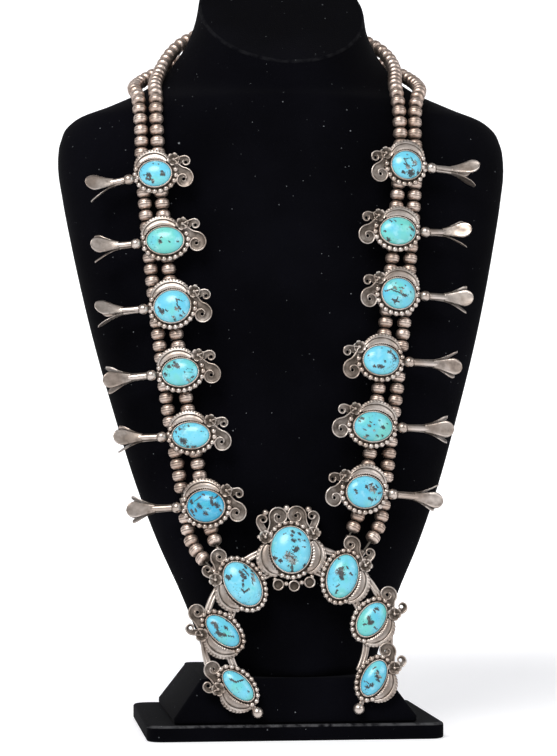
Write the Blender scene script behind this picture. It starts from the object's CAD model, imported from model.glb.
"""Squash blossom necklace on a neck bust: velvet, silver beads, blossoms, naja and stones.

Sizes are millimetres until a mesh is made, where they become metres. Every shape is a closed skin
over rows of points, worked out by a formula that its function's docstring gives in words.
"""

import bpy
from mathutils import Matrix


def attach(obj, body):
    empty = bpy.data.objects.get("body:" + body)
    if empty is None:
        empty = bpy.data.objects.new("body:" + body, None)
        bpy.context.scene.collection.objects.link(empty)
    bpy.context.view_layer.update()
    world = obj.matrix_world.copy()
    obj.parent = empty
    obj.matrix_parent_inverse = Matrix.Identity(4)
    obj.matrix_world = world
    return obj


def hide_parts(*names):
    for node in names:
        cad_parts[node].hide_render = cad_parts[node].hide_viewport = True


bl_info = {
    "name": "Squash Blossom Necklace on a Neck Bust",
    "version": (1, 0, 0),
    "blender": (4, 5, 0),
    "location": "3D View > Sidebar > Necklace",
    "description": "Dresses the necklace and its bust in velvet, aged silver and turquoise",
    "category": "Add Mesh",
}

import bpy
import numpy as np
from mathutils import Vector

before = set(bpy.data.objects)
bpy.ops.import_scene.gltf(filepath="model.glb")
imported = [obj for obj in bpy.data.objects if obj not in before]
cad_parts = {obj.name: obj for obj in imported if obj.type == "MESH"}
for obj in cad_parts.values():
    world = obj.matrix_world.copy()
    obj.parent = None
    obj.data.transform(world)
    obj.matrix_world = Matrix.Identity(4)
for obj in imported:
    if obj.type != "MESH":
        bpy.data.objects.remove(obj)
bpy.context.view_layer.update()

MM = 0.001

# Sections of the bust: height, half width, middle Y, front depth, back depth, roundness, rise
BUST_ROWS = np.array([
    [30, 42, -8, 38, 14, 1.7, 0], [50, 48.5, -5, 37, 14, 1.8, 0], [68, 55.5, -2, 37.5, 14, 1.9, 0],
    [95, 67.5, 2, 39, 14, 2, 0], [123, 78, 6.5, 41, 14, 2.1, 0], [159, 89, 12, 43, 14, 2.2, 0],
    [203, 101, 19, 45, 14, 2.4, 0], [248, 111, 26, 47, 15, 2.4, 0], [275, 116, 30, 48, 15, 2.4, 0],
    [290, 118, 32.5, 48, 15, 2.4, 0], [304, 116.5, 34.5, 48, 16, 2.4, 0],
    [312, 112.5, 35.5, 48, 17, 2.3, 0], [317, 105.5, 36, 48, 18.5, 2.3, 0],
    [321, 95, 36.5, 48, 20, 2.2, 0], [326, 84, 37, 48, 22, 2.2, 0.05],
    [331, 74, 37.5, 48, 25, 2.1, 0.12], [337, 64.5, 38, 47.5, 28, 2, 0.22],
    [345, 56.5, 38, 46, 31, 2, 0.36], [354, 50, 37, 44.5, 33, 2, 0.5],
    [363, 46, 36, 43.5, 34, 2, 0.64], [375, 43.5, 34, 42, 36, 2, 0.78],
])
BUST_X = 3.0

# Base plate and block
PLATE = (148.0, 119.0, 8.0, 7.0)
BLOCK_FOOT = (121.0, 111.0, 3.0)
BLOCK_TOP = (95.0, 99.0, 30.0)
BLOCK_CORNER = 3.0
WORN_FRONT = 5.0
# How far the top of a slab is stepped in past its round edge
SLAB_INSETS = (1.2, 6)
# Rows of the bust: lowest, start of the close rows, step below it and step above it
BUST_STEPS = (30, 300, 5.0, 1.5)
BUST_COUNT = 180
# Turns of the rim at the neck in degrees, steps in from it over the face, and wear of the rim
RIM_TURNS = (20, 45, 70, 90)
FACE_STEPS = (0.8, 2.5, 12, 25)
RIM_WEAR = 0.03

# Beads, threads and shank tubes
BEAD_D = 7.5
BEAD_LENGTH = 5.45
BORE_D = 2.0
BEAD_PITCH = 6.02
SHANK_LENGTH = 7.2
SHANK_R = BORE_D / 2 + 0.6
LIFT = BEAD_D / 2 + 0.35
EDGE = LIFT + 0.9
NAPE = LIFT + 0.7

# Routes of the threads: angle round the bust, height, distance from the bust
ROUTES = [
    [[126, 82, 14.5], [130, 88.5, 11.5], [137, 95, 7.5], [137.5, 102, 5], [135.5, 118, LIFT],
     [134, 130, LIFT], [132, 164, LIFT], [129, 197, LIFT], [127.5, 235, LIFT], [126.5, 268, LIFT],
     [126.5, 301, LIFT], [129.8, 312, EDGE], [137.8, 319.6, EDGE], [150.5, 324.2, EDGE],
     [165, 328, NAPE], [184, 332.8, NAPE], [203, 339.5, NAPE], [224, 346, NAPE], [246, 349.5, NAPE],
     [262, 350.5, NAPE]],
    [[123, 91, 10.8], [125, 97, 6.9], [126, 102, 5], [126, 116, LIFT], [125, 130, LIFT],
     [124, 164, LIFT], [122.3, 197, LIFT], [121.5, 237, LIFT], [121, 270, LIFT], [121.5, 301, LIFT],
     [124, 310.5, EDGE], [129, 318.5, EDGE], [139.5, 324.5, EDGE], [153, 330.5, EDGE],
     [170, 338, NAPE], [187, 345, NAPE], [204, 350.5, NAPE], [225, 354, NAPE], [246, 355.5, NAPE],
     [262, 355.8, NAPE]],
    [[64.5, 89, 8.2], [60.5, 95.5, 7.4], [57, 101, 6.2], [55.5, 108, 4.9], [57, 122, LIFT],
     [58, 136, LIFT], [59.7, 170, LIFT], [61.4, 203, LIFT], [61.6, 242, LIFT], [61.9, 274, LIFT],
     [61.5, 303, LIFT], [58.3, 314, EDGE], [50.3, 321, EDGE], [36, 326.5, EDGE], [18, 332, NAPE],
     [-1, 336.5, NAPE], [-21, 341.5, NAPE], [-43, 346, NAPE], [-65, 349.5, NAPE], [-82, 350.5, NAPE]],
    [[70.5, 96, 5], [68.5, 102, 4.8], [66.5, 108, 4.4], [66, 122, LIFT], [66, 136, LIFT],
     [66.5, 170, LIFT], [67.7, 203, LIFT], [67.2, 242, LIFT], [67, 274, LIFT], [65.7, 303, LIFT],
     [64, 312.5, EDGE], [58, 321, EDGE], [48, 328.3, EDGE], [33.5, 336.5, NAPE], [15, 343, NAPE],
     [-4, 347.5, NAPE], [-23, 351.5, NAPE], [-44, 354, NAPE], [-65, 355.5, NAPE], [-82, 355.8, NAPE]],
]
STRANDS = ("left_outer", "left_inner", "right_outer", "right_inner")
LOWER_BEADS = (5, 3, 4, 3)
BEADS_BETWEEN = 4
END_GAP = 5.0
# Length of a line that stays on the front, and rise of a tube over its blossom's middle
FRONT_RUN = 240
SHANK_RISE = 0.4

# Blossoms: angle round the bust, height, stone's width, height and turn, ornament's turn,
# trumpet's turn and length, how far its front petal turns up
BLOSSOMS = [
    [[121.7, 281, 16.3, 13.2, 0, -1, 12, 35, 15], [120.9, 247.5, 18.6, 13.6, 0, 5, 6, 37, 12],
     [121.4, 214.2, 18.3, 16.1, 10, -5, 5, 38.5, 30], [122.9, 181.5, 18.3, 13.7, 5, 4, 6, 38.5, -5],
     [123.9, 150, 18.9, 12.8, 0, -3, 3, 38.5, 12], [124.1, 115, 19, 15.6, 0, -3, 3, 39.5, 0]],
    [[65.8, 286.5, 15.8, 14.6, 0, -9, 5, 37.5, 28], [67.3, 253, 18.6, 14, 0, 0, 1, 37.5, 15],
     [65.6, 221.1, 17.4, 15.6, 0, -1, 4, 38, 0], [68.5, 187.3, 18.7, 14.8, 0, -9, 3, 41, -18],
     [67.8, 154, 20.2, 14.8, 0, 5, 2, 41, -3], [67.5, 121.5, 19, 15.8, 0, -1, 5, 40, -18]],
]
BLOSSOM_LIFT = LIFT + BEAD_D / 2 + 0.5

# Clusters of the naja: across and up its face, stone's width, height and turn, ornament's turn,
# angles of the leaf's tip, the small scroll and the large scroll
CLUSTERS = [
    [-1.4, 63.8, 19.8, 23, -3, 4.2, 0, 0, 0], [-25.9, 46.8, 24, 16, -7, 131, 130, 26, -2],
    [-36.2, 23.4, 20, 10.8, -13, 150, 152, 23, -8], [-29.1, -3.7, 19, 9.8, -14, 149, 151, 30, -4],
    [24.2, 50.2, 22.5, 14.8, -6, 115, 143, 24, -9], [38.2, 28.5, 19, 12.2, 1, 127, 158, 30, -3],
    [38.4, -0.6, 19, 10.8, 5, 115, 154, 32, 2],
]
NAJA_TILT = np.arctan(0.2)
NAJA_FOOT = np.array([0, -52.5, 30.0])
NAJA_MIDDLE = np.array([1, 20.0])
BAR_R = 1.0
BAR_SPREAD = 0.8
BAR_TOP = 2 * BAR_R - 0.15
ARCS = ((46.3, -30, 213), (34.6, -28, 219))
END_BALLS = {3: (-19.7, -16.9), 6: (30.6, -15.6)}
END_BALL_R = 2.9
NAJA_SHANK_AT = 2.0
NAJA_SHANK_LENGTH = 4.0

# Ornament: sheet, bezel, leaf, scrolls and flower
SHEET = 1.0
PLATE_RIM = 3.1
LEAF_GAP = 0.95
FLOWER_AT = 40
LEAF_FROM = 50
EYE_R = 0.85
WIRE_R = 0.36
FLOWER_OFF = 4.4
BLOSSOM_AT = (160, 23, -9)
# Small scroll: eye's distance off the stone, outer and inner radius, end's turn, turn in all, power
SMALL_SCROLL = (8.6, 3.3, 1.35, 95, 330, 2.2)
# Large scroll: eye's distance past its radius, inner radius, end's turn, turn in all, power
LARGE_SCROLL = (0.9, 1.3, 94, 440, 0.9)
# Leaf's width, flower's radius, half-ball bead's radius, large scroll's radius
BLOSSOM_SIZES = (5, 3.3, 1.4, 5.6)
NAJA_SIZES = (6.3, 3.5, 1.35, 4.8)
MIDDLE_FLOWER = np.array([-12.1, 7.3])
MIDDLE_LARGE = (np.array([-4.3, 17.2]), 5.1, 1.3, 195, 440, 0.6)
MIDDLE_SMALL = (np.array([-12.3, 16.3]), 4, 1.5, 215, 400, 3)
MIDDLE_LEAF = (163, 236, 7)
MIDDLE_GRAINS = ((44, 136), (246, 294))
TOP_BALL = (21.3, 1.6)
# Wire of the middle cluster's loops: radius and height of its middle over the plate
LOOP_WIRE = (0.42, 0.35)
# Cup in each loop from its middle: radius, height and brightness
CUP = ((0.3, 0.05, 0), (2.4, 0.05, 0), (2.4, 0.8, 0.1), (1.6, 0.5, 0.12), (0.3, 0.4, 0.2))
# Height of a cabochon: fixed part, and share of the smaller half of its oval
DOME_HEIGHT = (2.2, 0.42)
MIDDLE_BALLS = ((-15.2, 7.8, 1.1), (-10.9, 19.8, 1.6), (-9.3, -14.2, 1.05), (-3.9, -16.75, 1.2))
LOOPS = ((-7.9, -16.9), (0, -18.1), (7.9, -16.9))
LOOP_R = (2.9, 2.1)

# Trumpet: ball, stem and petals
STEM_BALL_R = 2.7
TRUMPET_AXIS = 1.9
FLARE_R = 7.2
PETAL_SPAN = 13.5
PETAL_SHEET = 0.55

# Section of a leaf: share across, height over the plate, share of the ribs, brightness
LEAF_SECTION = np.array([
    [0, -0.75, 0, 0.05], [0, 0.3, 0, 0.3], [0.03, 0.95, 0.1, 0.8], [0.1, 1.15, 0, 0.8],
    [0.28, 1.15, 0, 0.7], [0.46, 1.0, 0, 0.6], [0.57, 0.75, 0, 0.35], [0.62, 0.25, 0, 0],
    [0.645, 0.9, 0, 0.9], [0.68, 1.15, 0, 0.95], [0.74, 0.98, 0, 0.8], [0.8, 0.74, 0.5, 0.6],
    [0.87, 0.68, 1, 0.65], [0.93, 0.57, 1, 0.7], [0.98, 0.35, 0.8, 0.75], [1, 0.05, 0, 0.4],
    [1, -0.75, 0, 0.05],
])

# Section of a flower: share of its radius, height over the plate, brightness
FLOWER_SECTION = np.array([
    [0.06, 0.4, 0.1], [0.3, 0.4, 0.1], [0.52, 0.55, 0.2], [0.74, 0.85, 0.3], [0.9, 1.25, 0.85],
    [0.97, 1.35, 1], [1, 1.2, 0.8], [0.97, 0.9, 0.3], [0.7, 0.1, 0.1], [0.4, -0.5, 0.05],
])

# Section of a bezel: distance from the stone's outline, height over the plate, brightness
BEZEL_SECTION = np.array([
    [0.12, -0.1, 0.1], [0.62, -0.1, 0.1], [0.62, 0.5, 0.35], [0.6, 1.5, 0.6], [0.46, 1.92, 1],
    [0.2, 2.0, 1], [0.02, 1.88, 0.6], [0.1, 1.4, 0.1],
])

# Outline of a bead from end to end: share of its half length, share of its wall outside the bore
BEAD_SECTION = np.array([
    [-1, 0], [-0.9, 0.52], [-0.62, 0.82], [-0.36, 0.955], [-0.22, 0.915], [-0.1, 0.985],
    [0.1, 0.985], [0.22, 0.915], [0.36, 0.955], [0.62, 0.82], [0.9, 0.52], [1, 0],
])

# Looks of the stones, from the photo by eye. Each has its greenness, its depth of blue, and marks:
# start and end on the stone as shares of its half sizes, and half width; then tan patches.
STONES = {
    "stone_left_1": (0.05, 0.1,
        [(-.38, -.2, -.28, -.28, .75), (-.5, -.45, -.42, -.5, .35), (-.3, -.58, -.22, -.52, .4),
         (-.12, -.78, -.05, -.75, .3), (.46, .06, .6, .02, .35), (.44, -.2, .62, -.18, .4),
         (-.1, .7, -.08, .72, .25), (.25, .66, .27, .66, .22), (-.62, -.2, -.6, -.22, .25)],
        [(-.3, -.36, .6), (.5, -.1, .5), (-.1, -.62, .5)]),
    "stone_left_2": (0.85, 0.2,
        [(-.24, -.1, -.18, -.16, .55), (-.2, .12, -.12, .16, .2), (.72, -.1, .74, -.14, .35),
         (.2, -.1, .34, -.2, .2)], [(-.22, -.2, .5)]),
    "stone_left_3": (0.1, 0.15,
        [(.18, .42, .58, .3, .16), (.3, .4, .36, .05, .2), (.36, .0, .52, -.22, .3),
         (-.72, -.1, -.64, -.2, .35), (-.6, -.32, -.46, -.4, .65), (-.28, -.3, -.2, -.36, .3),
         (.5, -.6, .56, -.62, .35), (.16, -.86, .2, -.84, .35), (-.5, -.2, -.4, -.3, .2),
         (.62, -.35, .7, -.5, .2)], [(.3, -.2, .7), (-.5, -.45, .5), (.1, -.7, .4)]),
    "stone_left_4": (0.45, 0.1,
        [(-.62, .42, -.54, .36, .55), (-.3, .72, -.26, .66, .4), (-.2, .5, -.06, .34, .7),
         (-.4, .5, -.38, .46, .25), (-.8, -.14, -.76, -.2, .55), (.3, -.02, .32, -.04, .22),
         (.7, -.42, .78, -.36, .3)], [(.5, -.6, .5), (-.1, .45, .4)]),
    "stone_left_5": (0.15, 0.0,
        [(-.4, -.42, -.3, -.5, 1.05), (-.6, .54, -.56, .48, .4), (-.8, .3, -.74, .22, .3),
         (-.1, .72, -.06, .7, .35), (-.2, -.86, -.1, -.88, .3), (.2, -.88, .3, -.84, .25),
         (-.6, -.1, -.58, -.12, .25), (.6, .3, .64, .3, .18)], [(-.3, -.62, .6), (.1, -.9, .5)]),
    "stone_left_6": (0.0, 1.0,
        [(-.74, .36, -.66, .22, .5), (-.5, .34, -.2, .62, .25), (-.12, .78, 0, .72, .25),
         (-.26, .06, -.16, -.04, .75), (.36, .56, .46, .12, .5), (.52, .5, .72, .68, .25),
         (.62, .14, .72, .02, .65), (.06, -.42, .14, -.48, .65), (-.72, -.26, -.66, -.36, .5),
         (-.46, -.2, -.42, -.34, .3), (-.6, -.55, -.55, -.6, .3), (.84, -.2, .86, -.3, .3),
         (.2, -.1, .24, -.12, .18)], [(.42, .3, .4)]),
    "stone_right_1": (0.1, 0.1,
        [(.08, -.62, .22, -.7, 1.0), (.66, -.58, .74, -.62, .55), (-.42, -.54, -.3, -.66, .4),
         (-.3, .36, -.12, -.1, .2), (-.24, .3, .02, .36, .18), (.16, .42, .34, .02, .2),
         (-.32, -.04, -.08, -.16, .25), (.2, -.2, .5, -.1, .2), (-.06, .66, -.02, .66, .2)],
        [(-.08, -.26, .7), (.4, .08, .75), (.2, -.45, .5)]),
    "stone_right_2": (0.6, 0.15,
        [(-.66, -.6, -.56, -.74, .4), (.7, .12, .82, .02, .4), (.1, .4, .12, .38, .22),
         (-.82, -.06, -.78, -.1, .25), (-.5, .72, -.4, .62, .18), (-.3, .74, -.2, .64, .18),
         (.66, -.36, .7, -.4, .25)], [(.6, .25, .4)]),
    "stone_right_3": (0.3, 0.25,
        [(-.88, .12, -.5, .22, .2), (-.45, .12, -.1, -.02, .25), (-.1, .0, .25, -.28, .25),
         (.12, -.16, .34, -.2, .4), (-.5, -.46, -.14, -.6, .3), (-.2, -.34, -.36, -.66, .3),
         (-.3, .66, -.26, .62, .2), (.3, .5, .34, .44, .2), (.6, .1, .64, .02, .2),
         (-.1, .3, .1, .34, .2)], [(-.36, .3, .6), (-.02, .06, .6), (.1, .3, .4)]),
    "stone_right_4": (0.05, 0.05,
        [(.3, .6, .42, .5, .35), (.54, .4, .64, .3, .4), (.64, .16, .72, .08, .5),
         (.04, -.08, .08, -.16, .35), (-.52, -.42, -.46, -.5, .4), (-.26, -.46, -.04, -.52, .55),
         (-.8, .3, -.74, .28, .25), (-.05, .8, 0, .8, .2)], [(.45, .62, .5), (.3, .5, .4)]),
    "stone_right_5": (0.55, 0.3,
        [(-.66, .56, -.6, .5, .5), (.34, -.04, .44, -.1, .55), (-.78, .4, -.74, .36, .25),
         (.06, -.62, .16, -.66, .3), (.36, -.6, .42, -.66, .3), (-.44, -.6, -.36, -.66, .35),
         (-.3, .3, -.2, .26, .2), (.62, .2, .66, .16, .25), (-.1, .1, 0, .06, .2),
         (.2, .4, .24, .36, .2), (-.6, -.2, -.5, -.26, .2)],
        [(-.34, .06, .5), (-.1, -.3, .4), (-.5, -.7, .45)]),
    "stone_right_6": (0.05, 0.2,
        [(-.08, .34, 0, .22, .45), (.36, .24, .46, .14, .5), (.52, .4, .6, .3, .4),
         (.08, -.42, .26, -.52, .45), (.44, -.44, .5, -.5, .25), (-.68, .14, -.6, .06, .3),
         (-.62, -.02, -.58, -.08, .3), (.62, -.12, .86, -.04, .25), (.1, .44, .3, .5, .3)],
        [(.22, .2, 1.2), (.34, .06, .7)]),
    "naja_stone_1": (0.05, 0.0,
        [(.04, .78, .12, .7, .45), (-.02, .6, .04, .54, .4), (.02, .36, .14, .32, .5),
         (.4, .66, .46, .62, .4), (.34, .4, .38, .36, .35), (.62, .36, .66, .34, .3),
         (.14, -.12, .26, -.02, .75), (.56, .06, .7, .06, .2), (-.4, .62, -.28, .68, .15),
         (-.62, -.5, -.54, -.54, .6), (-.96, -.34, -.8, -.4, .4), (-.3, -.3, .12, -.46, .25),
         (.1, -.46, .16, -.6, .25), (-.02, -.74, .02, -.98, .45), (.62, -.72, .68, -.68, .4),
         (-.2, -.74, -.16, -.78, .3), (.06, .1, .1, .06, .15)],
        [(-.2, -.32, 1.5), (.0, -.5, 1.4), (-.88, -.36, .7)]),
    "naja_stone_2": (0.0, 0.05,
        [(.1, .8, .2, .68, .3), (.0, .62, .3, .34, .25), (-.14, .5, .0, .36, .5),
         (-.1, .34, .06, .2, .45), (-.04, .12, -.02, -.16, .35), (.1, .3, .14, .2, .3),
         (-.1, -.3, .02, -.44, .3), (.02, -.44, .3, -.28, .3), (-.84, .32, -.74, .22, .6),
         (-.66, .34, -.62, .3, .3), (.44, .56, .6, .54, .35), (.46, .3, .5, -.1, .2)],
        [(.52, .2, .8), (.5, .4, .6)]),
    "naja_stone_3": (0.2, 0.35,
        [(-.62, .5, -.4, .3, .6), (-.4, .3, -.34, -.1, .5), (-.4, -.16, .1, -.32, .5),
         (.1, .2, .18, .12, .55), (.24, .66, .3, .6, .4), (.3, -.36, .6, -.4, .2)],
        [(-.46, .24, .6), (-.22, -.26, .6)]),
    "naja_stone_4": (0.35, 0.05,
        [(-.56, .42, -.2, .2, .35), (-.2, .2, .3, .36, .3), (.6, -.4, .66, -.42, .3)],
        [(-.3, .3, .4)]),
    "naja_stone_5": (0.3, 0.1,
        [(-.3, .16, -.1, .06, 1.0), (-.22, .3, -.04, .32, .6), (-.2, -.06, -.1, -.16, .6),
         (-.46, -.52, -.3, -.42, .25), (-.4, -.66, -.5, -.8, .3), (.44, .1, .54, .02, .4),
         (.24, .4, .28, .32, .3), (-.24, .8, -.2, .76, .3)], [(-.16, .1, .9), (-.1, .24, .5)]),
    "naja_stone_6": (0.45, 0.2,
        [(-.24, .1, -.2, -.3, .6), (-.2, -.3, -.02, -.2, .6), (.24, .62, .4, .56, .45),
         (.1, .5, .16, .4, .3), (-.4, -.3, -.6, -.36, .25), (.1, -.5, .3, -.6, .25)],
        [(-.2, -.18, .7), (.32, .62, .5)]),
    "naja_stone_7": (0.15, 0.3,
        [(.1, .1, .26, -.04, .4), (.2, -.14, .34, -.2, .45), (-.6, -.5, -.5, -.56, .5),
         (-.3, -.46, -.2, -.42, .6), (-.1, .5, .1, .6, .25), (.2, .4, .3, .3, .3),
         (-.74, -.2, -.3, -.4, .2)], [(.3, .06, .8), (.16, .26, .6)]),
}

# Floor in metres: reach, where it bends up behind and the bend's radius
FLOOR_REACH = 6.0
FLOOR_BEND = (2.0, 1.5)
FLOOR_GLOW = ((0.96, 0.96, 0.98, 1), 0.5)
SKY_COLOUR = (0.97, 0.98, 1, 1)
AIM = (0, -0.02, 0.2)
# Lights: name, place and aim in metres, size, share of the key light's power, tint
LIGHTS = (("key_light", (-0.55, -1.0, 1.25), AIM, 0.9, 1, (1, 0.99, 0.97)),
          ("fill_light", (1.1, -0.7, 0.7), AIM, 0.9, 0.25, (1, 1, 1)),
          ("side_light", (-1.1, -0.6, 1.0), AIM, 1.2, 0.12, (1, 1, 1)),
          ("back_light", (0.1, 1.2, 1.5), (0, 3.2, 0.4), 2.0, 2.8, (1, 1, 1)))
# Camera and floor
CAMERA_AT = (-0.1614, -1.3766, 0.1541)
CAMERA_ALONG = (0.1146, 0.9932, 0.0185)
CAMERA_LENS = 128.1
CAMERA_SENSOR = 36.0


# Places on the bust


def signed_power(v, p):
    return np.sign(v) * np.abs(v) ** p


def bust_column(z, k):
    """Straight lines between the sections, as the solid has."""
    return np.interp(z, BUST_ROWS[:, 0], BUST_ROWS[:, k])


def smooth_column(z, k):
    """One cubic curve through the sections, with the slope of its neighbours at each."""
    x, y = BUST_ROWS[:, 0], BUST_ROWS[:, k]
    slope = np.gradient(y, x)
    i = np.clip(np.searchsorted(x, z, side="right") - 1, 0, len(x) - 2)
    h = x[i + 1] - x[i]
    t = (z - x[i]) / h
    return ((1 + 2 * t) * (1 - t) ** 2 * y[i] + t * (1 - t) ** 2 * h * slope[i]
            + t * t * (3 - 2 * t) * y[i + 1] + t * t * (t - 1) * h * slope[i + 1])


def on_bust(a, z, column=bust_column):
    """Point of the bust at an angle and a height: a superellipse, flatter at the back, that rises."""
    a = np.radians(np.asarray(a, float))
    z = np.asarray(z, float)
    p = 2 / column(z, 5)
    s = np.sin(a)
    front = -column(z, 3) * np.abs(s) ** p
    back = column(z, 4) * np.abs(s) ** (0.8 * p)
    y = np.where(s > 0, front, back)
    return np.stack([BUST_X + column(z, 1) * signed_power(np.cos(a), p),
                     column(z, 2) + y, z + column(z, 6) * y], -1)


def unit(v):
    return v / np.linalg.norm(v, axis=-1, keepdims=True)


def bust_normal(a, z):
    return unit(np.cross(on_bust(a - 1, z) - on_bust(a + 1, z), on_bust(a, z + 1) - on_bust(a, z - 1)))


def distances(q):
    return np.r_[0, np.cumsum(np.linalg.norm(np.diff(q, axis=0), axis=1))]


def thread_line(route, steps=8, gap=2.5, times=18):
    """Cubic curve through the route's points off the bust, evenly spaced, then evened out."""
    p = np.array(route, float)
    i = np.arange(len(p) - 1)
    a, b, c, d = p[np.maximum(i - 1, 0)], p[i], p[i + 1], p[np.minimum(i + 2, len(p) - 1)]
    t = (np.arange(steps) / steps)[None, :, None]
    a, b, c, d = (v[:, None, :] for v in (a, b, c, d))
    q = b + t * ((c - a) / 2 + t * ((a - 2.5 * b + 2 * c - d / 2) + t * (3 * b - a - 3 * c + d) / 2))
    q = np.vstack([q.reshape(-1, 3), p[-1:]])
    q = on_bust(q[:, 0], q[:, 1]) + q[:, 2:3] * bust_normal(q[:, 0], q[:, 1])
    s = distances(q)
    u = np.linspace(0, s[-1], round(s[-1] / gap) + 1)
    q = np.stack([np.interp(u, s, q[:, k]) for k in range(3)], -1)
    for _ in range(times):
        q[1:-1] = (q[:-2] + 2 * q[1:-1] + q[2:]) / 4
    return distances(q), q


LINES = [thread_line(route) for route in ROUTES]


def along(k, s):
    stops, q = LINES[k]
    return np.stack([np.interp(s, stops, q[:, j]) for j in range(3)], -1)


def heading(k, s):
    return unit(along(k, np.asarray(s) + 1.5) - along(k, np.asarray(s) - 1.5))


def reach(k, z):
    stops, q = LINES[k]
    front = stops < FRONT_RUN
    return float(np.interp(z, q[front, 2], stops[front]))


def shank_stops(k):
    """Distances of the blossoms' tubes along a line, from the lowest up."""
    return [reach(k, BLOSSOMS[k // 2][i][1] + SHANK_RISE) for i in range(5, -1, -1)]


def bead_stops(k):
    """Distances of the beads along a line: below, between and above the blossoms' tubes."""
    stops = shank_stops(k)
    first = stops[0] - (SHANK_LENGTH + BEAD_PITCH) / 2 - 0.1
    last = stops[5] + (SHANK_LENGTH + BEAD_PITCH) / 2
    below = first - BEAD_PITCH * np.arange(LOWER_BEADS[k] - 1, -1, -1)
    steps = (np.arange(BEADS_BETWEEN) - (BEADS_BETWEEN - 1) / 2) * BEAD_PITCH
    between = [(stops[i] + stops[i + 1]) / 2 + steps for i in range(5)]
    run = LINES[k][0][-1] - END_GAP - last
    above = last + BEAD_PITCH * np.arange(int(run // BEAD_PITCH) + 1)
    return np.concatenate([below, *between, above])


# Skins


def skin(rows, mask=1.0, loop=False):
    """Closed skin over rows of points, one row a closed line: quads between rows, and at the first
    and last row a fan to its middle, or with loop quads back to the first row."""
    rows = np.asarray(rows, float)
    m, n = rows.shape[:2]
    values = np.broadcast_to(np.asarray(mask, float), (m, n)).reshape(-1)
    i, j = np.meshgrid(np.arange(m if loop else m - 1), np.arange(n), indexing="ij")
    i2, j2 = (i + 1) % m, (j + 1) % n
    quads = np.stack([i * n + j, i * n + j2, i2 * n + j2, i2 * n + j], -1).reshape(-1, 4)
    points = rows.reshape(-1, 3)
    if loop:
        return points, quads, np.zeros((0, 3), int), values
    j = np.arange(n)
    j2 = (j + 1) % n
    low = np.stack([np.full(n, m * n), j2, j], -1)
    high = np.stack([np.full(n, m * n + 1), (m - 1) * n + j, (m - 1) * n + j2], -1)
    points = np.vstack([points, rows[0].mean(0), rows[-1].mean(0)])
    values = np.r_[values, values[:n].mean(), values[(m - 1) * n:].mean()]
    return points, quads, np.vstack([low, high]), values


def copies(part, offsets):
    """The same part again and again, moved by each offset."""
    points, quads, tris, values = part
    n, k = len(points), len(offsets)
    step = (np.arange(k) * n)[:, None, None]
    return ((points[None] + np.asarray(offsets, float)[:, None]).reshape(-1, 3),
            (quads[None] + step).reshape(-1, 4), (tris[None] + step).reshape(-1, 3), np.tile(values, k))


def turned(part, place):
    """The part by a place, which is (rows of axes, origin): point times axes plus origin."""
    axes, origin = place
    return part[0] @ axes + origin, part[1], part[2], part[3]


def moved(part, offset):
    """The part moved by an offset."""
    return turned(part, (np.eye(3), np.asarray(offset, float)))


def spin(section, sides, mask=1.0):
    """Section of radius and height turned once round the Z axis."""
    f = np.arange(sides) * 2 * np.pi / sides
    r, z = np.asarray(section, float).T
    rows = np.stack([r[:, None] * np.cos(f), r[:, None] * np.sin(f), np.repeat(z[:, None], sides, 1)], -1)
    return rows, np.broadcast_to(np.asarray(mask, float).reshape(-1, 1), (len(r), sides))


def tube(path, across, radii, mask=1.0, sides=10, flat=1.0):
    """Round wire along a path: circles in the plane of `across` and the path's normal, with round ends.
    `flat` is the height of its section as a share of its width."""
    path = np.asarray(path, float)
    ahead = unit(np.gradient(path, axis=0))
    up = np.broadcast_to(np.asarray(across, float), path.shape)
    side = unit(np.cross(up, ahead))
    up = unit(np.cross(ahead, side))
    f = np.arange(sides) * 2 * np.pi / sides
    ring = np.cos(f)[:, None] * side[:, None, :] + flat * np.sin(f)[:, None] * up[:, None, :]
    r = np.broadcast_to(np.asarray(radii, float), (len(path),)).copy()
    reach_out = r[[0, 0, -1, -1]] * np.array([-0.7, -0.35, 0.35, 0.7])
    rows = path[:, None, :] + r[:, None, None] * ring
    start = [path[0] + reach_out[i] * ahead[0] + r[0] * s * ring[0] for i, s in ((0, 0.5), (1, 0.87))]
    end = [path[-1] + reach_out[i] * ahead[-1] + r[-1] * s * ring[-1] for i, s in ((2, 0.87), (3, 0.5))]
    values = np.broadcast_to(np.asarray(mask, float), (len(path),))
    values = np.r_[values[0], values[0], values, values[-1], values[-1]]
    return skin(np.concatenate([start, rows, end]), values[:, None] * np.ones(sides))


def ball(radius, sides=20, bands=10, low=-90):
    """Sphere, or its part above a low angle, with the brightness falling towards its foot."""
    f = np.radians(np.linspace(low, 90, bands + 1))
    f[0], f[-1] = f[0] + 0.06, f[-1] - 0.06
    rows, mask = spin(np.stack([radius * np.cos(f), radius * np.sin(f)], -1), sides,
                      np.clip(0.3 + 0.9 * np.sin(f), 0, 1))
    return skin(rows, mask)


def volume(points, quads, tris):
    faces = np.vstack([quads[:, [0, 1, 2]], quads[:, [0, 2, 3]], tris])
    a, b, c = (points[faces[:, k]] for k in range(3))
    return np.einsum("ij,ij->i", a, np.cross(b, c)).sum()


def outward(points, quads, tris):
    """The faces, turned over if they point inwards."""
    if volume(points - points.mean(0), quads, tris) < 0:
        return quads[:, ::-1], tris[:, ::-1]
    return quads, tris


def new_mesh(name, points, quads, tris, layers):
    """Smooth mesh from points in millimetres, with a value at each point for each named layer."""
    mesh = bpy.data.meshes.new(name)
    mesh.from_pydata((points * MM).tolist(), [], quads.tolist() + tris.tolist())
    mesh.polygons.foreach_set("use_smooth", np.ones(len(mesh.polygons), bool))
    for layer_name, values in layers.items():
        layer = mesh.attributes.new(layer_name, "FLOAT", "POINT")
        layer.data.foreach_set("value", values.astype(np.float32))
    return mesh


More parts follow.
